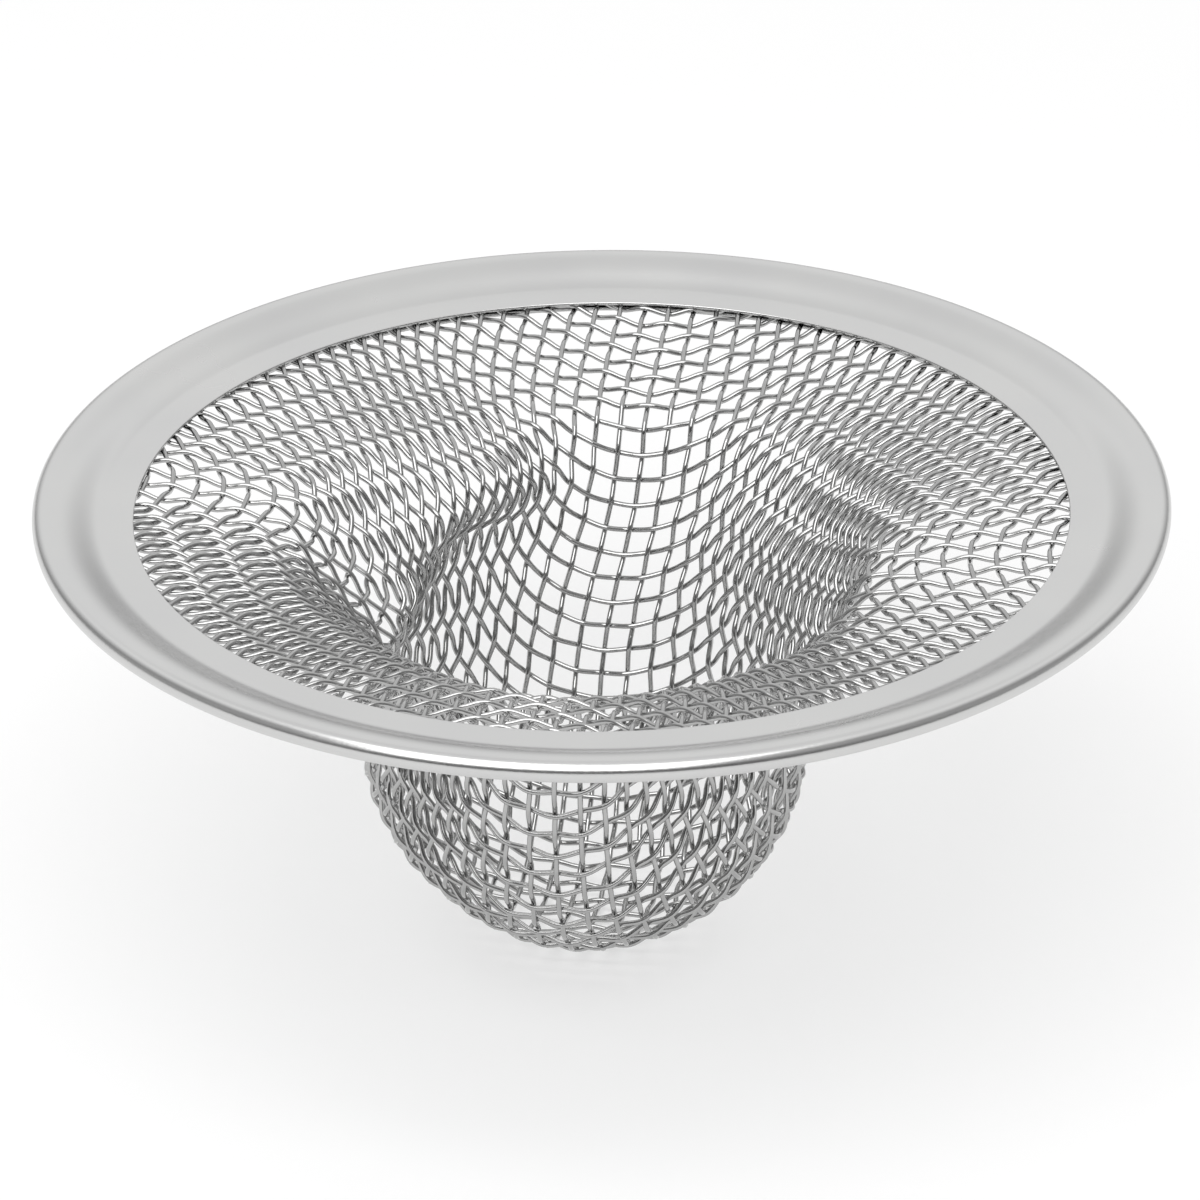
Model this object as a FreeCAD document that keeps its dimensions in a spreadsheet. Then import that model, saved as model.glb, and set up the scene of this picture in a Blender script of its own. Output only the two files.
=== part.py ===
import FreeCAD, Part
import math
import os
import Sketcher

# Sink strainer: a folded sheet rim that grips the edge of a pressed basket of woven wire cloth.
# The origin is on the strainer's axis, in the plane of the rim's seat, with +Z up.
# Lengths are in millimetres and angles in degrees.

DIMENSIONS = [
    ("rim_diameter", 70.0, "outside of the rim's rolled bead"),
    ("rim_width", 6.2, "from the outside of the rim to its inner edge"),
    ("land_width", 2.5, "flat inner band of the rim"),
    ("crown_rise", 0.55, "height of the bead's crest above the land"),
    ("sheet_thickness", 0.2, "stainless sheet of the rim"),
    ("hem_width", 1.4, "flat part of the hem that closes on the cloth from below"),
    ("hem_clearance", 0.03, "room above and below the cloth inside the hem"),
    ("cloth_grip", 2.2, "width of the cloth edge that the rim covers"),
    ("wire_diameter", 0.38, "round wire of the cloth"),
    ("wires_each_side", 11, "modelled wires on either side of the middle one"),
    ("edge_share", 0.5, "part of a pitch between the outermost wire and the cloth's edge"),
    ("crossing_gap", 0.09, "air between two wires where they cross"),
    ("hem_crossing_angle", 30.0, "sharpest crossing of wires inside the hem"),
    ("least_crossing_angle", 18.0, "sharpest crossing that the crimp allows for"),
    ("weave_angle", -9.5, "turn of the weave about the axis"),
    ("mouth_diameter", 34.4, "where the lines of funnel and cup wall meet"),
    ("funnel_drop", 1.65, "fall of the funnel from the rim to the mouth"),
    ("wall_angle", 76.0, "slope of the cup wall from level"),
    ("cup_depth", 28.3, "from the cloth in the rim down to the cup's bottom"),
    ("lip_radius", 2.6, "bend from funnel to wall along the wires"),
    ("bias_lip_radius", 7.5, "the same bend between the wires' directions"),
    ("cup_shift_x", -0.95, "offset of the pressed cup from the rim's axis"),
    ("cup_shift_y", -1.0, "the same offset along Y"),
]

# A square of the round wire's section area stands for the wire.
# The cloth's length from pole to edge, shared out among the wires, gives their pitch.
# The dome touches the cup's bottom and the line of its wall.
# The rim is a sandwich of sheet, slot and sheet that rises together from the groove to the bead.
DERIVED = [
    ("wire_side", "=wire_diameter * sqrt(pi) / 2"),
    ("opening_radius", "=rim_diameter / 2 - rim_width"),
    ("mouth_radius", "=mouth_diameter / 2"),
    ("mouth_depth", "=cup_depth - funnel_drop"),
    ("dome_fall", "=mouth_radius * sin(wall_angle) - mouth_depth"),
    ("dome_radius", "=dome_fall / (1 - cos(wall_angle)) + mouth_depth"),
    ("dome_length", "=dome_radius * wall_angle * pi / 180"),
    ("wall_length", "=(mouth_radius - dome_radius * sin(wall_angle)) / cos(wall_angle)"),
    ("funnel_width", "=opening_radius - mouth_radius"),
    ("funnel_angle", "=atan(funnel_drop / funnel_width) / 1 deg"),
    ("funnel_length", "=funnel_width / cos(funnel_angle)"),
    ("lip_turn", "=wall_angle - funnel_angle"),
    ("lip_saving", "=2 * lip_radius * tan(lip_turn / 2) - lip_radius * lip_turn * pi / 180"),
    ("cloth_length", "=dome_length + wall_length + funnel_length - lip_saving + cloth_grip"),
    ("pitch", "=cloth_length / (wires_each_side + edge_share)"),
    ("hem_slope", "=wire_side / (pitch * tan(hem_crossing_angle / 2))"),
    ("hem_crimp", "=wire_side / 2 / (1 - hem_slope) + crossing_gap / 2"),
    ("hem_slot", "=2 * hem_crimp + wire_side + 2 * hem_clearance"),
    ("bead_height", "=hem_slot + 2 * sheet_thickness"),
    ("cloth_level", "=bead_height / 2"),
    ("mouth_level", "=cloth_level - funnel_drop"),
    ("cloth_radius", "=opening_radius + cloth_grip"),
    ("groove_radius", "=opening_radius + land_width"),
    ("hem_radius", "=groove_radius - hem_width"),
    ("bead_radius", "=rim_diameter / 2 - bead_height / 2"),
    ("crest_level", "=bead_height + crown_rise"),
    ("land_under", "=bead_height - sheet_thickness"),
    ("slot_crest", "=crest_level - sheet_thickness"),
    ("slot_foot", "=crown_rise + sheet_thickness"),
]

# The hem's underside is the seat, which lies in the plane of the origin.
SEAT = "seat"

# How the crossings are solved: most steps, and the smallest and longest move as shares of the pitch.
SOLVER_STEPS = 40
SMALL_MOVE = 1e-4
LONG_MOVE = 0.25


def make_sheet(doc):
    """Write the driving dimensions, and what follows from them, with one alias each."""
    rows = [(name, str(value), meaning) for name, value, meaning in DIMENSIONS]
    rows += [(name, text, "") for name, text in DERIVED]
    sheet = doc.addObject("Spreadsheet::Sheet", "dims")
    for number, (name, text, meaning) in enumerate(rows, start=1):
        sheet.set("A%d" % number, name)
        sheet.set("B%d" % number, text)
        sheet.set("C%d" % number, meaning)
        sheet.setAlias("B%d" % number, name)
    doc.recompute()
    return sheet


def read(sheet, name):
    """The number in a cell, without its unit."""
    if name == SEAT:
        return 0.0
    value = sheet.get(name)
    return float(getattr(value, "Value", value))


class Section:
    """A closed outline in a sketch whose points are bound to the spreadsheet."""

    def __init__(self, sketch, sheet):
        self.sketch = sketch
        self.sheet = sheet
        self.places = {}

    def add(self, geometry, start, end):
        number = self.sketch.addGeometry(geometry, False)
        for position, place in ((1, start), (2, end)):
            self.pin(number, position, place)
        return number

    def pin(self, number, position, place):
        """Join the end to an earlier one at that place, or bind it to the place's two cells."""
        if place in self.places:
            earlier = self.places[place]
            self.sketch.addConstraint(Sketcher.Constraint("Coincident", number, position, *earlier))
            return
        self.places[place] = (number, position)
        for kind, name in zip(("DistanceX", "DistanceY"), place):
            if name == SEAT:
                self.sketch.addConstraint(Sketcher.Constraint("PointOnObject", number, position, -1))
            else:
                self.bind(Sketcher.Constraint(kind, -1, 1, number, position, read(self.sheet, name)), name)

    def bind(self, constraint, name):
        index = self.sketch.addConstraint(constraint)
        self.sketch.setExpression("Constraints[%d]" % index, "dims." + name)

    def spot(self, place):
        return FreeCAD.Vector(read(self.sheet, place[0]), read(self.sheet, place[1]), 0)

    def line(self, start, end):
        self.add(Part.LineSegment(self.spot(start), self.spot(end)), start, end)

    def half_round(self, bottom, top):
        """A half circle bulging outward between two points above each other, bound by its centre."""
        centre = (self.spot(bottom) + self.spot(top)) * 0.5
        radius = (self.spot(top) - self.spot(bottom)).Length / 2
        circle = Part.Circle(centre, FreeCAD.Vector(0, 0, 1), radius)
        number = self.add(Part.ArcOfCircle(circle, -math.pi / 2, math.pi / 2), bottom, top)
        self.bind(Sketcher.Constraint("DistanceX", -1, 1, number, 3, centre.x), bottom[0])


def make_rim(doc, sheet):
    """One ring of sheet, folded over at the outside so that land and hem close on the cloth."""
    body = doc.addObject("PartDesign::Body", "RimBody")
    body.Label = "rim"
    sketch = body.newObject("Sketcher::SketchObject", "RimSection")
    plane = [item for item in body.Origin.OriginFeatures if item.Role == "XZ_Plane"][0]
    sketch.AttachmentSupport = [(plane, "")]
    sketch.MapMode = "FlatFace"
    section = Section(sketch, sheet)
    # Each run of the outline goes through three radii at the levels named beside it.
    inward = ("bead_radius", "groove_radius", "hem_radius")
    outward = ("hem_radius", "groove_radius", "bead_radius")
    hem = list(zip(inward, ("crown_rise", SEAT, SEAT)))
    slot_floor = list(zip(outward, ("sheet_thickness", "sheet_thickness", "slot_foot")))
    slot_roof = list(zip(inward[:2] + ("opening_radius",), ("slot_crest", "land_under", "land_under")))
    land = list(zip(("opening_radius",) + outward[1:], ("bead_height", "bead_height", "crest_level")))
    outline = hem + slot_floor + slot_roof + land
    for start, end in zip(outline, outline[1:]):
        section.line(start, end)
    section.half_round(hem[0], land[-1])
    doc.recompute()
    ring = body.newObject("PartDesign::Revolution", "RimRing")
    ring.Profile = sketch
    ring.ReferenceAxis = (sketch, ["V_Axis"])
    ring.Angle = 360.0
    doc.recompute()
    return body


class Basket:
    """Middle surface of the pressed cloth: dome, cup wall, lip, funnel and the level edge in the rim."""

    LENGTHS = (
        "opening_radius", "cloth_level", "mouth_radius", "mouth_level", "lip_radius", "bias_lip_radius",
        "dome_radius", "dome_length", "wall_length", "funnel_length",
        "cup_depth", "cup_shift_x", "cup_shift_y",
    )
    ANGLES = ("wall_angle", "funnel_angle", "weave_angle")

    def __init__(self, sheet):
        for name in self.LENGTHS:
            setattr(self, name, read(sheet, name))
        for name in self.ANGLES:
            setattr(self, name, math.radians(read(sheet, name)))
        self.dome_level = self.cloth_level - self.cup_depth + self.dome_radius

    def meridian(self, length, lip):
        """Radius and height at a distance from the pole, measured along the surface."""
        if length < self.dome_length:
            angle = length / self.dome_radius
            return self.dome_radius * math.sin(angle), self.dome_level - self.dome_radius * math.cos(angle)
        length -= self.dome_length
        turn = self.wall_angle - self.funnel_angle
        cut = lip * math.tan(turn / 2)
        straight = self.wall_length - cut
        if length < straight:
            back = self.wall_length - length
            return (self.mouth_radius - back * math.cos(self.wall_angle),
                    self.mouth_level - back * math.sin(self.wall_angle))
        length -= straight
        if length < lip * turn:
            angle = self.wall_angle - length / lip
            foot_radius = self.mouth_radius - cut * math.cos(self.wall_angle)
            foot_level = self.mouth_level - cut * math.sin(self.wall_angle)
            return (foot_radius + lip * (math.sin(self.wall_angle) - math.sin(angle)),
                    foot_level + lip * (math.cos(angle) - math.cos(self.wall_angle)))
        length += cut - lip * turn
        if length < self.funnel_length:
            return (self.mouth_radius + length * math.cos(self.funnel_angle),
                    self.mouth_level + length * math.sin(self.funnel_angle))
        return self.opening_radius + length - self.funnel_length, self.cloth_level

    def point(self, u, v):
        """Point above the flat cloth position u, v at the same distance and direction from the pole."""
        length = math.hypot(u, v)
        if length == 0:
            return 0.0, 0.0, self.dome_level - self.dome_radius
        bias = (2 * u * v / length ** 2) ** 2
        lip = self.lip_radius + (self.bias_lip_radius - self.lip_radius) * bias
        radius, level = self.meridian(length, lip)
        return radius * u / length, radius * v / length, level

    def place(self, point):
        """Turn the weave about the axis and move the cup to its offset, more the deeper it is."""
        x, y, z = point
        share = min(max((self.mouth_level - z) / (self.cup_depth / 2), 0), 1)
        ease = share * share * (3 - 2 * share)
        cosine = math.cos(self.weave_angle)
        sine = math.sin(self.weave_angle)
        return FreeCAD.Vector(cosine * x - sine * y + ease * self.cup_shift_x,
                              sine * x + cosine * y + ease * self.cup_shift_y, z)


def crossing(basket, first, second, guess, pitch):
    """Flat position of the cloth point one pitch from two known points, by Newton steps."""
    step = pitch * SMALL_MOVE
    u, v = guess
    for attempt in range(SOLVER_STEPS):
        here = basket.point(u, v)
        along_u = basket.point(u + step, v)
        along_v = basket.point(u, v + step)
        rows = []
        for known in (first, second):
            gap = math.dist(here, known)
            growth = [(math.dist(moved, known) - gap) / step for moved in (along_u, along_v)]
            rows.append((gap - pitch, *growth))
        (miss, a, b), (other_miss, c, d) = rows
        area = a * d - b * c
        du = (other_miss * b - miss * d) / area
        dv = (miss * c - other_miss * a) / area
        limit = min(1, pitch * LONG_MOVE / max(math.hypot(du, dv), step))
        u += du * limit
        v += dv * limit
        if abs(miss) + abs(other_miss) < step:
            break
    return u, v


def drape(basket, pitch, cloth_radius):
    """One quarter of the cloth's crossings, each one pitch from its neighbours along both wires."""
    margin = cloth_radius + 2 * pitch
    flat = {(0, 0): (0.0, 0.0)}
    spots = {(0, 0): basket.point(0, 0)}
    count = 0
    while math.hypot(*spots[(count, 0)][:2]) < cloth_radius + pitch / 2:
        u = flat[(count, 0)][0] + pitch
        for attempt in range(SOLVER_STEPS):
            u += pitch - math.dist(basket.point(u, 0), spots[(count, 0)])
        count += 1
        for key, position in (((count, 0), (u, 0.0)), ((0, count), (0.0, u))):
            flat[key] = position
            spots[key] = basket.point(*position)
    for i in range(1, count + 1):
        for j in range(1, count + 1):
            near = [(i - 1, j), (i, j - 1), (i - 1, j - 1)]
            if any(key not in flat for key in near):
                continue
            guess = [flat[near[0]][axis] + flat[near[1]][axis] - flat[near[2]][axis] for axis in (0, 1)]
            position = crossing(basket, spots[near[0]], spots[near[1]], guess, pitch)
            spot = basket.point(*position)
            if math.hypot(spot[0], spot[1]) < margin:
                flat[(i, j)] = position
                spots[(i, j)] = spot
    return spots


class Cloth:
    """The whole woven net: where each crossing lies, which way it faces and how far its wires part."""

    def __init__(self, sheet):
        self.basket = Basket(sheet)
        self.pitch = read(sheet, "pitch")
        self.side = read(sheet, "wire_side")
        self.gap = read(sheet, "crossing_gap")
        self.radius = read(sheet, "cloth_radius")
        self.hem_crimp = read(sheet, "hem_crimp")
        self.least_angle = math.radians(read(sheet, "least_crossing_angle"))
        self.quarter = drape(self.basket, self.pitch, self.radius)
        self.reach = max(i for i, j in self.quarter)

    def middle(self, i, j):
        """Crossing i, j of the net, or None past its edge."""
        spot = self.quarter.get((abs(i), abs(j)))
        if spot is None:
            return None
        mirrored = (math.copysign(spot[0], i), math.copysign(spot[1], j), spot[2])
        return self.basket.place(mirrored)

    def tangent(self, i, j, di, dj):
        """Direction of the wire through a crossing, from the neighbours that exist."""
        ahead = self.middle(i + di, j + dj) or self.middle(i, j)
        behind = self.middle(i - di, j - dj) or self.middle(i, j)
        return (ahead - behind).normalize()

    def lift(self, i, j):
        """Vector from the net to the middle of the wire that lies on top at this crossing."""
        across = self.tangent(i, j, 1, 0)
        along = self.tangent(i, j, 0, 1)
        facing = across.cross(along).normalize()
        spot = self.middle(i, j)
        if math.hypot(spot.x, spot.y) > self.basket.opening_radius - self.pitch:
            return facing * self.hem_crimp
        angle = max(min(across.getAngle(along), math.pi - across.getAngle(along)), self.least_angle)
        slope_loss = self.side / (self.pitch * math.tan(angle / 2))
        # Where the cloth is curved, the upper wire bends towards the lower one on both sides.
        bend = self.bend(i, j, facing) * math.sin(angle)
        return facing * (self.side / 2 / (1 - slope_loss) + self.side / 2 * bend + self.gap / 2)

    def bend(self, i, j, facing):
        """Largest slope of the net from a crossing to its neighbours, against the plane that touches it."""
        spot = self.middle(i, j)
        around = [self.middle(i + 1, j), self.middle(i - 1, j), self.middle(i, j + 1), self.middle(i, j - 1)]
        return max(abs((near - spot).dot(facing)) for near in around if near) / self.pitch

    def path(self, index, warp):
        """Bend points of one wire, from one end in the rim to the other."""
        route = []
        for step in range(-self.reach, self.reach + 1):
            i, j = (index, step) if warp else (step, index)
            spot = self.middle(i, j)
            if spot is None:
                continue
            over = (i + j) % 2 == 0
            sign = 1 if over == warp else -1
            route.append((spot, self.lift(i, j) * sign))
        return self.trim(route)

    def trim(self, route):
        """Cut the wire at the cloth's edge and bend it where it leaves the rim."""
        points = []
        for (first, first_lift), (last, last_lift) in zip(route, route[1:]):
            inside = [math.hypot(spot.x, spot.y) < self.radius for spot in (first, last)]
            if inside[0]:
                points.append(first + first_lift)
            # A bend keeps one wire's width away from a crossing.
            margin = self.side / (last - first).Length
            shares = []
            if any(inside):
                bends = ring_cut(first, last, self.basket.opening_radius)
                shares += [share for share in bends if margin < share < 1 - margin]
            if inside[0] != inside[1]:
                cuts = ring_cut(first, last, self.radius)
                shares += [min(max(share, margin), 1 - margin) for share in cuts]
            for share in sorted(shares):
                spot = first + (last - first) * share
                level = FreeCAD.Vector(spot.x, spot.y, self.basket.cloth_level)
                points.append(level + first_lift + (last_lift - first_lift) * share)
        return points


def ring_cut(first, last, radius):
    """Shares of the way from one point to another where a circle about the axis is crossed."""
    dx = last.x - first.x
    dy = last.y - first.y
    square = dx * dx + dy * dy
    half = first.x * dx + first.y * dy
    rest = first.x ** 2 + first.y ** 2 - radius ** 2
    root = half * half - square * rest
    if root <= 0:
        return []
    shares = [(-half - math.sqrt(root)) / square, (-half + math.sqrt(root)) / square]
    return [share for share in shares if 0 < share < 1]


def make_wire(doc, name, points, side):
    """A wire of square section along straight runs, mitred at each bend."""
    runs = [(last - first).normalize() for first, last in zip(points, points[1:])]
    upright = FreeCAD.Vector(0, 0, 1)
    flat = runs[0].cross(upright).normalize()
    upright = flat.cross(runs[0])
    half = side / 2
    signs = ((1, 1), (-1, 1), (-1, -1), (1, -1))
    corners = [points[0] + flat * a * half + upright * b * half for a, b in signs]
    rings = [corners]
    for number, run in enumerate(runs):
        onward = runs[min(number + 1, len(runs) - 1)]
        mitre = (run + onward).normalize()
        target = points[number + 1]
        corners = [corner + run * ((target - corner).dot(mitre) / run.dot(mitre)) for corner in corners]
        rings.append(corners)
    faces = [Part.Face(Part.makePolygon(ring + ring[:1])) for ring in (rings[0], rings[-1])]
    for first, last in zip(rings, rings[1:]):
        for edge in range(4):
            after = (edge + 1) % 4
            quad = [first[edge], first[after], last[after], last[edge], first[edge]]
            faces.append(Part.Face(Part.makePolygon(quad)))
    shell = Part.makeShell(faces)
    shell.sewShape()
    feature = doc.addObject("Part::Feature", name)
    feature.Label = name
    feature.Shape = Part.makeSolid(shell)
    feature.Placement = FreeCAD.Placement()
    return feature


def make_wires(doc, sheet):
    """Every wire of both directions that has a stretch inside the cloth's edge."""
    cloth = Cloth(sheet)
    wires = []
    for family, warp in (("warp_wire", True), ("weft_wire", False)):
        paths = [cloth.path(index, warp) for index in range(-cloth.reach, cloth.reach + 1)]
        paths = [points for points in paths if len(points) > 2]
        for number, points in enumerate(paths, start=1):
            wires.append(make_wire(doc, "%s_%02d" % (family, number), points, cloth.side))
    return wires


def check(doc, parts):
    """Stop before anything is written if an object failed or a solid is not sound."""
    for item in doc.Objects:
        if "Invalid" in item.State or "Error" in item.State:
            raise RuntimeError("%s did not build: %s" % (item.Label, item.State))
    for part in parts:
        if part.Shape.isNull() or not part.Shape.isValid() or part.Shape.Volume <= 0:
            raise RuntimeError("%s has no sound solid" % part.Label)


def main():
    doc = FreeCAD.newDocument("sink_strainer")
    sheet = make_sheet(doc)
    parts = [make_rim(doc, sheet)] + make_wires(doc, sheet)
    doc.recompute()
    check(doc, parts)
    os.makedirs("parts", exist_ok=True)
    for part in parts:
        part.Shape.exportStep("parts/%s.step" % part.Label)
    print("%d parts written" % len(parts))


main()
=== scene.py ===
import math

import bpy
import numpy as np
from mathutils import Matrix, Vector


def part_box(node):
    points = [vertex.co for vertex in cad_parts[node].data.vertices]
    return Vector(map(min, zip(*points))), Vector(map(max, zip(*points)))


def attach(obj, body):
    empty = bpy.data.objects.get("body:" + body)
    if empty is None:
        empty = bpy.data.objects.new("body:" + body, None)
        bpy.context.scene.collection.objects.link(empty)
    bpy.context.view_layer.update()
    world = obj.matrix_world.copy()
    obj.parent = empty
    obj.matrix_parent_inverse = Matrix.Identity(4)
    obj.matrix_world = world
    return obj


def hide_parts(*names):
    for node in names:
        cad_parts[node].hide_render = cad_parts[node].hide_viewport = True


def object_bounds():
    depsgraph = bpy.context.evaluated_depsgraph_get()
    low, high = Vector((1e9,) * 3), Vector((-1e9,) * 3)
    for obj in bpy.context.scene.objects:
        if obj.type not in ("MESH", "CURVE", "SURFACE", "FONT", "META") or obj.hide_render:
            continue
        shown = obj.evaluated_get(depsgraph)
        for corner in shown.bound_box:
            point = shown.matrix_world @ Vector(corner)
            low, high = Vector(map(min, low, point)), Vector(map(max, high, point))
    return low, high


# Sink strainer: the folded rim and the full count of woven wires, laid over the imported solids.
# Lengths are in millimetres and become metres when a mesh is made.
MM = 0.001

# Rim section
RIM_WIDTH = 6.2
RIM_TRIM = 0.02
BEAD_HEIGHT = 1.37
LAND_WIDTH = 2.0
LAND_LEVEL = 0.85
HEM_REACH = 1.1
SHEET = 0.2
SLOT_PLAY = 0.02
EDGE_ROUND = 0.07
FACE_STEPS = 32
BEAD_STEPS = 24
EDGE_STEPS = 4
RIM_SEGMENTS = 360

# Cloth
WIRE_RADIUS = 0.165
MESH_PITCH = 1.65
WIRES_EACH_SIDE = 31
CLOTH_GRIP = 1.9
WEAVE_ANGLE = math.radians(-9.5)
TIGHT_CRIMP = 0.25
STEPS_PER_CROSSING = 6
WIRE_SIDES = 8

# Basket: corners of each half section from the foot up, as radius, depth under the rim and rounding.
# Straight sections lie along the wires, in the order right, rear, left and front.
# Bias sections lie between them, each after the straight one of the same place in the list.
# The plain ones are where the cloth starts before it settles.
# The cup stands off the axis by its shift, which comes in between the two shift depths.
# A smaller valley share makes the bias sections reach less far to the sides.
PANELS = 4
CUP_DEPTH = 27.8
CUP_SHIFT = (-0.95, -1.0)
SHIFT_DEPTHS = (1.1, 15.1)
PLAIN_STRAIGHT = ((10.5, CUP_DEPTH, 13.4), (17.2, 1.1, 2.6))
PLAIN_BIAS = ((9.0, CUP_DEPTH, 12.0), (15.5, 4.1, 7.0), (19.0, 1.6, 6.0))
FRONT_BIAS = ((12.0, CUP_DEPTH, 12.8), (14.2, 6.6, 4.0), (19.0, 1.8, 6.0))
STRAIGHT_SECTIONS = (
    ((11.0, CUP_DEPTH, 13.2), (16.2, 2.6, 3.0), (20.0, 0.9, 6.0)),
    ((10.9, CUP_DEPTH, 13.2), (16.3, 1.3, 2.0)),
    ((13.6, CUP_DEPTH, 13.3), (14.1, 13.0, 2.5), (11.9, 9.4, 0.6), (19.5, 0.9, 5.0)),
    ((11.0, CUP_DEPTH, 13.2), (16.8, 4.1, 4.0), (21.0, 1.7, 6.0)),
)
BIAS_SECTIONS = (
    ((11.8, CUP_DEPTH, 12.8), (13.9, 7.6, 5.0), (18.5, 2.0, 6.0)),
    ((13.5, CUP_DEPTH, 13.0), (14.4, 8.0, 2.5), (11.6, 3.2, 0.5), (18.0, 1.2, 4.0)),
    FRONT_BIAS,
    FRONT_BIAS,
)
VALLEY_SHARE = 0.58
ROUNDING_STEPS = 60

# How the cloth is laid and settles: wires hold their length and resist bending, and cells resist
# slanting and stop before they close up. Moves are shares of the pitch.
SMALL_MOVE = 1e-4
LONG_MOVE = 0.25
DAMPING = 1e-5
ATTEMPTS = 30
SETTLE_STEPS = 400
SETTLE_SMALL_MOVE = 1e-3
SETTLE_RATE = 0.08
SETTLE_CARRY = 0.93
SLANT_STIFFNESS = 0.03
BEND_STIFFNESS = 0.08
CLOSED_SHARE = 0.6
CLOSED_STIFFNESS = 2.0
SHORTEST_NORMAL = 1e-9

# Steel: tone, roughness, the spread of the roughness and the scale of its patches for each piece,
# then how the tone varies and the fine grit of the satin finish. Scales are per metre.
RIM_STEEL = (0.64, 0.26, 0.04, 90.0)
WIRE_STEEL = (0.46, 0.1, 0.03, 900.0)
PATCH_DETAIL = 4.0
TINT_ENDS = (0.3, 0.7)
TINT_DARK = 0.94
TINT_WARM = 0.99
GRIT_SCALE = 4000.0
GRIT_STRENGTH = 0.2
GRIT_HEIGHT = 0.02

# Camera, for a square picture of 1200 by 1200 pixels
PICTURE = 1200
CAMERA_DISTANCE = 500.0
CAMERA_HEIGHT_ANGLE = math.radians(27.21)
CAMERA_ROLL = math.radians(0.66)
PIXELS_PER_MM = 16.249
AXIS_PIXEL = (602.6, 510.2)
AXIS_LEVEL = 0.55
SENSOR = 36.0
CLIP_START = 10.0

# Studio, in metres: the floor is partly white by itself and partly lit, so it keeps a soft shadow.
# Room tones pair the cosine of the angle to the middle of the backdrop with the brightness there.
FLOOR_HALF = 4.0
FLOOR_TONE = 0.96
FLOOR_ROUGHNESS = 0.9
FLOOR_WHITE = 0.5
LAMP_PLACE = (-0.1, -0.34, 0.55)
LAMP_SIZE = 0.65
LAMP_POWER = 3.4
BACKDROP_HEIGHT = math.radians(60.0)
ROOM_TONES = ((-0.6, 0.02), (-0.2, 0.12), (0.05, 0.35), (0.25, 0.45), (0.44, 0.3), (0.68, 0.75),
              (0.83, 1.08), (0.93, 0.9))

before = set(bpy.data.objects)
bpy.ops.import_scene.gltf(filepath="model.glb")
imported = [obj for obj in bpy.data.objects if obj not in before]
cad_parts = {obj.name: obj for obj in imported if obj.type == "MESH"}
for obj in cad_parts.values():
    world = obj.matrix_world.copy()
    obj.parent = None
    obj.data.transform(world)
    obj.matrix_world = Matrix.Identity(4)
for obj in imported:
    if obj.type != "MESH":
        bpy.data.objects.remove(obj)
cad_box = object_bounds()
rim_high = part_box("rim")[1]
RIM_RADIUS = rim_high[0] / MM - RIM_TRIM
CREST = rim_high[2] / MM
CLOTH_LEVEL = LAND_LEVEL - SHEET - SLOT_PLAY - 2 * WIRE_RADIUS
HEM_LEVEL = CLOTH_LEVEL - SHEET - SLOT_PLAY - 2 * WIRE_RADIUS
OPENING_RADIUS = RIM_RADIUS - RIM_WIDTH
STEP_RADIUS = OPENING_RADIUS + LAND_WIDTH
HEM_RADIUS = OPENING_RADIUS + HEM_REACH
BEAD_RADIUS = RIM_RADIUS - BEAD_HEIGHT / 2
CLOTH_RADIUS = OPENING_RADIUS + CLOTH_GRIP


def make_mesh(name, points, quads, caps=()):
    """A smooth-shaded mesh from an array of points in millimetres and an array of quads."""
    mesh = bpy.data.meshes.new(name)
    faces = [tuple(face) for face in quads.tolist()] + [tuple(face) for face in caps]
    mesh.from_pydata((points * MM).tolist(), [], faces)
    mesh.polygons.foreach_set("use_smooth", [True] * len(mesh.polygons))
    mesh.update()
    piece = bpy.data.objects.new(name, mesh)
    bpy.context.scene.collection.objects.link(piece)
    return piece


def arc(centre, radius, start, end, steps):
    """Points along an arc in the rim's section, from one angle to another."""
    return [(centre[0] + radius * math.cos(start + (end - start) * k / steps),
             centre[1] + radius * math.sin(start + (end - start) * k / steps)) for k in range(steps + 1)]


def rim_face(start, land, crest):
    """One face of the sheet, from its level on the land up the smooth step to its level at the crest."""
    face = []
    for step in range(FACE_STEPS + 1):
        radius = start + (BEAD_RADIUS - start) * step / FACE_STEPS
        way = max(radius - STEP_RADIUS, 0) / (BEAD_RADIUS - STEP_RADIUS)
        rise = 1 - (1 - way) ** 3 * (1 + 3 * way)
        face.append((radius, land + (crest - land) * rise))
    return face


def rim_outline():
    """Closed outline of the folded sheet, upper face first."""
    half = math.pi / 2
    bead = (BEAD_RADIUS, CREST - BEAD_HEIGHT / 2)
    under = CREST - BEAD_HEIGHT
    edge = (OPENING_RADIUS + EDGE_ROUND, LAND_LEVEL - EDGE_ROUND)
    lip = arc(edge, EDGE_ROUND, 2 * half, half, EDGE_STEPS)
    outer = arc(bead, BEAD_HEIGHT / 2, half, -half, BEAD_STEPS)
    inner = arc(bead, BEAD_HEIGHT / 2 - SHEET, -half, half, BEAD_STEPS)
    top = rim_face(edge[0], LAND_LEVEL, CREST)
    hem_below = rim_face(HEM_RADIUS, HEM_LEVEL, under)
    hem_above = rim_face(HEM_RADIUS, HEM_LEVEL + SHEET, under + SHEET)
    top_below = rim_face(OPENING_RADIUS, LAND_LEVEL - SHEET, CREST - SHEET)
    return lip[:-1] + top + outer[1:-1] + hem_below[::-1] + hem_above + inner[1:-1] + top_below[::-1]


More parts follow.
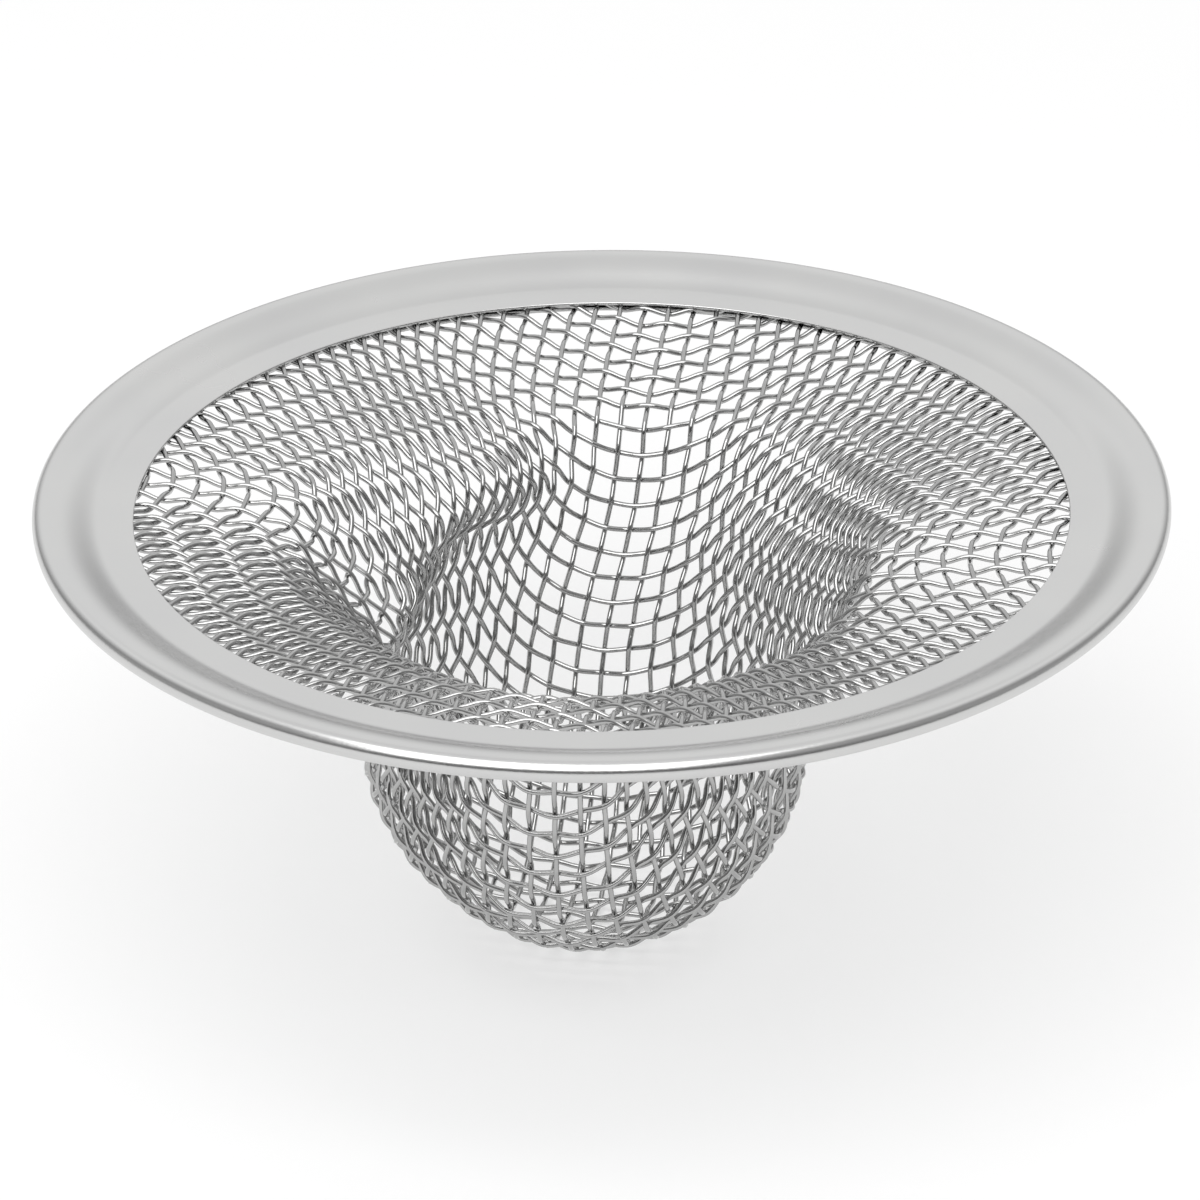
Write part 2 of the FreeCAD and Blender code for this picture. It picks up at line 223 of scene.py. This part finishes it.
def make_rim():
    """The section turned about the axis."""
    outline = np.array(rim_outline())
    count = len(outline)
    angles = np.arange(RIM_SEGMENTS) * 2 * math.pi / RIM_SEGMENTS
    radius = outline[:, 0][None, :]
    points = np.stack([np.cos(angles)[:, None] * radius, np.sin(angles)[:, None] * radius,
                       np.repeat(outline[:, 1][None, :], RIM_SEGMENTS, axis=0)], axis=-1).reshape(-1, 3)
    turn, along = np.meshgrid(np.arange(RIM_SEGMENTS), np.arange(count), indexing="ij")
    next_turn = (turn + 1) % RIM_SEGMENTS
    next_along = (along + 1) % count
    quads = np.stack([turn * count + along, turn * count + next_along,
                      next_turn * count + next_along, next_turn * count + along], axis=-1).reshape(-1, 4)
    return make_mesh("strainer_rim", points, quads)


def rounded(corners):
    """Distance from the pole, radius and level along a half section with rounded corners."""
    path = [(0.0, CUP_DEPTH, 0.0)] + list(corners) + [(OPENING_RADIUS, 0.0, 0.0)]
    spots = [np.array([radius, CLOTH_LEVEL - depth]) for radius, depth, rounding in path]
    line = [spots[0]]
    for before, here, after, corner in zip(spots, spots[1:], spots[2:], path[1:]):
        back = (before - here) / np.linalg.norm(before - here)
        ahead = (after - here) / np.linalg.norm(after - here)
        half = math.acos(back @ ahead) / 2
        middle = (back + ahead) / np.linalg.norm(back + ahead)
        centre = here + middle * corner[2] / math.sin(half)
        start = here + back * corner[2] / math.tan(half) - centre
        end = here + ahead * corner[2] / math.tan(half) - centre
        first = math.atan2(start[1], start[0])
        swing = (math.atan2(end[1], end[0]) - first + math.pi) % (2 * math.pi) - math.pi
        line += [np.array(spot) for spot in arc(centre, corner[2], first, first + swing, ROUNDING_STEPS)]
    line = np.array(line + [spots[-1]])
    steps = np.linalg.norm(np.diff(line, axis=0), axis=1)
    return np.concatenate([[0.0], np.cumsum(steps)]), line[:, 0], line[:, 1]


def surface(flat, sections):
    """Basket points for flat cloth positions at the same share of the way from the pole to the rim."""
    length = np.hypot(flat[..., 0], flat[..., 1])
    angle = np.arctan2(flat[..., 1], flat[..., 0]) % (2 * math.pi)
    slant = np.sin(2 * angle) ** 2
    bias = slant * (VALLEY_SHARE + (1 - VALLEY_SHARE) * slant)
    nearest = np.round(angle / (math.pi / 2)).astype(int) % PANELS
    quarter = np.floor(angle / (math.pi / 2)).astype(int) % PANELS
    shares = [((nearest == k) * (1 - bias), section) for k, section in enumerate(sections[:PANELS])]
    shares += [((quarter == k) * bias, section) for k, section in enumerate(sections[PANELS:])]
    total = sum(share * section[0][-1] for share, section in shares)
    way = length / total
    radius = sum(share * np.interp(way * along[-1], along, radii)
                 for share, (along, radii, levels) in shares)
    level = sum(share * np.interp(way * along[-1], along, levels)
                for share, (along, radii, levels) in shares)
    radius = radius + np.maximum(way - 1, 0) * total
    sunk = np.clip((CLOTH_LEVEL - level - SHIFT_DEPTHS[0]) / (SHIFT_DEPTHS[1] - SHIFT_DEPTHS[0]), 0, 1)
    ease = sunk * sunk * (3 - 2 * sunk)
    turned = angle + WEAVE_ANGLE
    return np.stack([radius * np.cos(turned) + ease * CUP_SHIFT[0],
                     radius * np.sin(turned) + ease * CUP_SHIFT[1], level], axis=-1)


def meet(guess, first, second, sections):
    """Flat positions of the points one pitch from two known ones each, by damped Newton steps."""
    small = MESH_PITCH * SMALL_MOVE
    damping = DAMPING * np.eye(2)
    for attempt in range(ATTEMPTS):
        here = surface(guess, sections)
        rates = [(surface(guess + np.array(move), sections) - here) / small
                 for move in ((small, 0), (0, small))]
        miss = []
        slopes = []
        for known in (first, second):
            gap = here - known
            reach = np.linalg.norm(gap, axis=-1)
            miss.append(reach - MESH_PITCH)
            slopes.append(np.stack([(gap * rate).sum(-1) / reach for rate in rates], axis=-1))
        miss = np.stack(miss, axis=-1)
        slopes = np.stack(slopes, axis=-2)
        turned = np.swapaxes(slopes, -1, -2)
        move = -np.linalg.solve(turned @ slopes + damping, turned @ miss[..., None])[..., 0]
        size = np.linalg.norm(move, axis=-1, keepdims=True)
        guess = guess + move * np.minimum(1, MESH_PITCH * LONG_MOVE / np.maximum(size, small))
        if np.abs(miss).max() < small:
            break
    return guess


def drape(sections):
    """Flat positions of every crossing, each one pitch from its neighbours along both wires."""
    n = WIRES_EACH_SIDE
    flat = np.zeros((2 * n + 1, 2 * n + 1, 2))
    spots = np.zeros((2 * n + 1, 2 * n + 1, 3))
    spots[n, n] = surface(flat[n, n], sections)
    for i, j in ((1, 0), (-1, 0), (0, 1), (0, -1)):
        way = np.array([i, j], dtype=float)
        for step in range(1, n + 1):
            before = spots[n + i * (step - 1), n + j * (step - 1)]
            length = np.abs(flat[n + i * (step - 1), n + j * (step - 1)]).max() + MESH_PITCH
            for attempt in range(ATTEMPTS):
                length += MESH_PITCH - np.linalg.norm(surface(way * length, sections) - before)
            flat[n + i * step, n + j * step] = way * length
            spots[n + i * step, n + j * step] = surface(way * length, sections)
    for a, b in ((1, 1), (1, -1), (-1, 1), (-1, -1)):
        for total in range(2, 2 * n + 1):
            i = np.arange(max(1, total - n), min(n, total - 1) + 1)
            j = total - i
            first = (n + a * (i - 1), n + b * j)
            second = (n + a * i, n + b * (j - 1))
            corner = (n + a * (i - 1), n + b * (j - 1))
            here = (n + a * i, n + b * j)
            guess = flat[first] + flat[second] - flat[corner]
            flat[here] = meet(guess, spots[first], spots[second], sections)
            spots[here] = surface(flat[here], sections)
    return flat


def settle(flat, sections):
    """Crossings of the cloth once its wires have pulled even on the pinched basket."""
    small = MESH_PITCH * SETTLE_SMALL_MOVE
    every, low, high = slice(None), slice(None, -1), slice(1, None)
    sides = (((low, every), (high, every)), ((every, low), (every, high)))
    diagonals = (((low, low), (high, high)), ((low, high), (high, low)))
    drift = np.zeros_like(flat)
    for step in range(SETTLE_STEPS):
        spots = surface(flat, sections)
        rates = [(surface(flat + np.array(move), sections) - spots) / small
                 for move in ((small, 0), (0, small))]
        pull = np.zeros_like(spots)
        for pairs, slanting in ((sides, False), (diagonals, True)):
            for one, other in pairs:
                gap = spots[other] - spots[one]
                reach = np.linalg.norm(gap, axis=-1, keepdims=True)
                if slanting:
                    strain = SLANT_STIFFNESS * (reach - math.sqrt(2) * MESH_PITCH)
                    strain += CLOSED_STIFFNESS * np.minimum(reach - CLOSED_SHARE * MESH_PITCH, 0)
                else:
                    strain = reach - MESH_PITCH
                pull[one] += strain * gap / reach
                pull[other] -= strain * gap / reach
        for wires in (0, 1):
            line = np.moveaxis(spots, wires, 0)
            force = np.moveaxis(pull, wires, 0)
            bend = BEND_STIFFNESS * (line[:-2] - 2 * line[1:-1] + line[2:])
            force[:-2] -= bend
            force[1:-1] += 2 * bend
            force[2:] -= bend
        push = np.stack([(pull * rate).sum(-1) / (rate * rate).sum(-1) for rate in rates], axis=-1)
        drift = SETTLE_CARRY * drift + SETTLE_RATE * push
        flat = flat + drift
    return surface(flat, sections)


def spline(values, share):
    """Smooth curve through the values, sampled at a share of each gap between neighbours."""
    before, start, end, after = values[:-3], values[1:-2], values[2:-1], values[3:]
    t = share
    return 0.5 * (2 * start + (end - before) * t + (2 * before - 5 * start + 4 * end - after) * t ** 2
                  + (3 * start - before - 3 * end + after) * t ** 3)


def wire_path(spots, normals, lifts):
    """Centre line and side direction of one wire that passes over and under the others."""
    centres = []
    sides = []
    for step in range(STEPS_PER_CROSSING):
        share = step / STEPS_PER_CROSSING
        facing = normals[1:-2] * (1 - share) + normals[2:-1] * share
        wave = (1 + math.cos(math.pi * share)) / 2
        lift = lifts[1:-2] * wave + lifts[2:-1] * (1 - wave)
        centres.append(spline(spots, share) + facing * lift[:, None])
        sides.append(facing)
    centres = np.stack(centres, axis=1).reshape(-1, 3)
    sides = np.stack(sides, axis=1).reshape(-1, 3)
    inside = np.nonzero(np.hypot(centres[:, 0], centres[:, 1]) < CLOTH_RADIUS)[0]
    if len(inside) < STEPS_PER_CROSSING:
        return None
    keep = slice(inside[0], inside[-1] + 1)
    return centres[keep], sides[keep]


def tube(centres, sides):
    """Points and quads of a round wire along its centre line."""
    ahead = np.gradient(centres, axis=0)
    ahead /= np.linalg.norm(ahead, axis=1, keepdims=True)
    across = np.cross(ahead, sides)
    across /= np.linalg.norm(across, axis=1, keepdims=True)
    upright = np.cross(across, ahead)
    turns = np.arange(WIRE_SIDES) * 2 * math.pi / WIRE_SIDES
    ring = (np.cos(turns)[None, :, None] * upright[:, None]
            + np.sin(turns)[None, :, None] * across[:, None])
    points = centres[:, None] + WIRE_RADIUS * ring
    rows, turn = np.meshgrid(np.arange(len(centres) - 1), np.arange(WIRE_SIDES), indexing="ij")
    after = (turn + 1) % WIRE_SIDES
    low = rows * WIRE_SIDES
    quads = np.stack([low + turn, low + WIRE_SIDES + turn,
                      low + WIRE_SIDES + after, low + after], axis=-1)
    return points.reshape(-1, 3), quads.reshape(-1, 4)


def make_cloth():
    """All warp wires as one piece and all weft wires as another."""
    plain = [rounded(PLAIN_STRAIGHT)] * PANELS + [rounded(PLAIN_BIAS)] * PANELS
    pinched = [rounded(corners) for corners in STRAIGHT_SECTIONS + BIAS_SECTIONS]
    spots = settle(drape(plain), pinched)
    along_i = np.gradient(spots, axis=0)
    along_j = np.gradient(spots, axis=1)
    along_i /= np.linalg.norm(along_i, axis=-1, keepdims=True)
    along_j /= np.linalg.norm(along_j, axis=-1, keepdims=True)
    normals = np.cross(along_i, along_j)
    normals /= np.maximum(np.linalg.norm(normals, axis=-1, keepdims=True), SHORTEST_NORMAL)
    closeness = np.abs((along_i * along_j).sum(-1))
    index = np.arange(2 * WIRES_EACH_SIDE + 1)
    over = np.where((index[:, None] + index[None, :]) % 2 == 0, 1.0, -1.0)
    lifts = over * WIRE_RADIUS * (1 + TIGHT_CRIMP * closeness)
    pieces = []
    for name, way in (("cloth_warp", 1), ("cloth_weft", -1)):
        all_points = []
        all_quads = []
        caps = []
        start = 0
        for number in index:
            row = (number, slice(None)) if way == 1 else (slice(None), number)
            path = wire_path(spots[row], normals[row], way * lifts[row])
            if path is None:
                continue
            points, quads = tube(*path)
            all_points.append(points)
            all_quads.append(quads + start)
            caps.append(range(start + WIRE_SIDES - 1, start - 1, -1))
            start += len(points)
            caps.append(range(start - WIRE_SIDES, start))
        pieces.append(make_mesh(name, np.concatenate(all_points), np.concatenate(all_quads), caps))
    return pieces


def steel(name, colour, roughness, grain, grain_scale):
    """Satin stainless steel with fine grit, whose tone and roughness vary a little."""
    material = bpy.data.materials.new(name)
    material.use_nodes = True
    nodes = material.node_tree.nodes
    links = material.node_tree.links
    shader = nodes["Principled BSDF"]
    shader.inputs["Metallic"].default_value = 1.0
    place = nodes.new("ShaderNodeTexCoord")
    noise = nodes.new("ShaderNodeTexNoise")
    noise.inputs["Scale"].default_value = grain_scale
    noise.inputs["Detail"].default_value = PATCH_DETAIL
    links.new(place.outputs["Object"], noise.inputs["Vector"])
    tone = nodes.new("ShaderNodeMapRange")
    tone.inputs["To Min"].default_value = roughness - grain
    tone.inputs["To Max"].default_value = roughness + grain
    links.new(noise.outputs["Fac"], tone.inputs["Value"])
    links.new(tone.outputs["Result"], shader.inputs["Roughness"])
    tint = nodes.new("ShaderNodeValToRGB")
    dark = colour * TINT_DARK
    for element, end, paint in zip(tint.color_ramp.elements, TINT_ENDS,
                                   ((dark, dark, dark, 1), (colour, colour, colour * TINT_WARM, 1))):
        element.position = end
        element.color = paint
    links.new(noise.outputs["Fac"], tint.inputs["Fac"])
    links.new(tint.outputs["Color"], shader.inputs["Base Color"])
    grit = nodes.new("ShaderNodeTexNoise")
    grit.inputs["Scale"].default_value = GRIT_SCALE
    links.new(place.outputs["Object"], grit.inputs["Vector"])
    bump = nodes.new("ShaderNodeBump")
    bump.inputs["Strength"].default_value = GRIT_STRENGTH
    bump.inputs["Distance"].default_value = GRIT_HEIGHT * MM
    links.new(grit.outputs["Fac"], bump.inputs["Height"])
    links.new(bump.outputs["Normal"], shader.inputs["Normal"])
    return material


def seen_white(nodes, links):
    """One for rays that see the floor straight or in metal or glass, nought for the rest."""
    path = nodes.new("ShaderNodeLightPath")
    first = nodes.new("ShaderNodeMath")
    first.operation = "MAXIMUM"
    links.new(path.outputs["Is Camera Ray"], first.inputs[0])
    links.new(path.outputs["Is Glossy Ray"], first.inputs[1])
    second = nodes.new("ShaderNodeMath")
    second.operation = "MAXIMUM"
    links.new(first.outputs["Value"], second.inputs[0])
    links.new(path.outputs["Is Transmission Ray"], second.inputs[1])
    return second.outputs["Value"]


def make_floor():
    """A white floor under the cup that keeps a soft shadow of the object."""
    level = cad_box[0][2]
    mesh = bpy.data.meshes.new("floor")
    corners = ((-1, -1), (1, -1), (1, 1), (-1, 1))
    mesh.from_pydata([(FLOOR_HALF * x, FLOOR_HALF * y, level) for x, y in corners], [], [(0, 1, 2, 3)])
    floor = bpy.data.objects.new("floor", mesh)
    bpy.context.scene.collection.objects.link(floor)
    material = bpy.data.materials.new("floor_white")
    material.use_nodes = True
    nodes = material.node_tree.nodes
    links = material.node_tree.links
    shader = nodes["Principled BSDF"]
    shader.inputs["Base Color"].default_value = (FLOOR_TONE, FLOOR_TONE, FLOOR_TONE, 1)
    shader.inputs["Roughness"].default_value = FLOOR_ROUGHNESS
    shine = nodes.new("ShaderNodeEmission")
    share = nodes.new("ShaderNodeMath")
    share.operation = "MULTIPLY"
    share.inputs[1].default_value = FLOOR_WHITE
    links.new(seen_white(nodes, links), share.inputs[0])
    mix = nodes.new("ShaderNodeMixShader")
    links.new(share.outputs["Value"], mix.inputs["Fac"])
    links.new(shader.outputs["BSDF"], mix.inputs[1])
    links.new(shine.outputs["Emission"], mix.inputs[2])
    links.new(mix.outputs["Shader"], nodes["Material Output"].inputs["Surface"])
    floor.data.materials.append(material)


def make_world():
    """Soft room light: bright above and behind the object and dark on the camera's side."""
    world = bpy.data.worlds.new("studio")
    world.use_nodes = True
    nodes = world.node_tree.nodes
    links = world.node_tree.links
    background = nodes["Background"]
    background.inputs["Color"].default_value = (1, 1, 1, 1)
    place = nodes.new("ShaderNodeTexCoord")
    toward = nodes.new("ShaderNodeVectorMath")
    toward.operation = "DOT_PRODUCT"
    toward.inputs[1].default_value = (0, math.cos(BACKDROP_HEIGHT), math.sin(BACKDROP_HEIGHT))
    links.new(place.outputs["Generated"], toward.inputs[0])
    turn = nodes.new("ShaderNodeMapRange")
    turn.inputs["From Min"].default_value = -1.0
    links.new(toward.outputs["Value"], turn.inputs["Value"])
    tone = nodes.new("ShaderNodeValToRGB")
    ramp = tone.color_ramp.elements
    while len(ramp) < len(ROOM_TONES):
        ramp.new(1.0)
    for element, (way, level) in zip(ramp, ROOM_TONES):
        element.position = (1 + way) / 2
        element.color = (level, level, level, 1)
    links.new(turn.outputs["Result"], tone.inputs["Fac"])
    links.new(tone.outputs["Color"], background.inputs["Strength"])
    bpy.context.scene.world = world


def make_lamp(name, place, size, power):
    """A square soft lamp that looks at the strainer."""
    light = bpy.data.lights.new(name, "AREA")
    light.size = size
    light.energy = power
    lamp = bpy.data.objects.new(name, light)
    lamp.location = place
    lamp.rotation_euler = (-Vector(place)).to_track_quat("-Z", "Y").to_euler()
    bpy.context.scene.collection.objects.link(lamp)


def make_camera():
    """The photograph's view: its axis pixel, scale, height angle and roll."""
    data = bpy.data.cameras.new("camera")
    data.sensor_width = SENSOR
    data.lens = PIXELS_PER_MM * CAMERA_DISTANCE / PICTURE * SENSOR
    data.clip_start = CLIP_START * MM
    camera = bpy.data.objects.new("camera", data)
    back = Vector((0, -math.cos(CAMERA_HEIGHT_ANGLE), math.sin(CAMERA_HEIGHT_ANGLE)))
    spot = Vector((0, 0, AXIS_LEVEL)) + back * CAMERA_DISTANCE
    focal = PIXELS_PER_MM * CAMERA_DISTANCE
    aside = math.atan2(AXIS_PIXEL[0] - PICTURE / 2, focal)
    down = math.atan2(PICTURE / 2 - AXIS_PIXEL[1], focal)
    turn = back.to_track_quat("Z", "Y").to_matrix().to_4x4()
    aim = Matrix.Rotation(aside, 4, "Y") @ Matrix.Rotation(-down, 4, "X")
    roll = Matrix.Rotation(-CAMERA_ROLL, 4, "Z")
    camera.matrix_world = Matrix.Translation(spot * MM) @ turn @ (aim @ roll)
    bpy.context.scene.collection.objects.link(camera)
    bpy.context.scene.camera = camera


rim = make_rim()
rim.data.materials.append(steel("rim_steel", *RIM_STEEL))
warp, weft = make_cloth()
wire_steel = steel("wire_steel", *WIRE_STEEL)
for piece in (warp, weft):
    piece.data.materials.append(wire_steel)

nodes = list(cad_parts)
for piece, prefix, slot in ((rim, "rim", "rim_sheet"), (warp, "warp_wire", "cloth_wire"),
                            (weft, "weft_wire", "cloth_wire")):
    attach(piece, "root")
    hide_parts(*[node for node in nodes if node.startswith(prefix)])

make_floor()
make_world()
make_lamp("key", LAMP_PLACE, LAMP_SIZE, LAMP_POWER)
make_camera()
bpy.context.scene.view_settings.view_transform = "Standard"
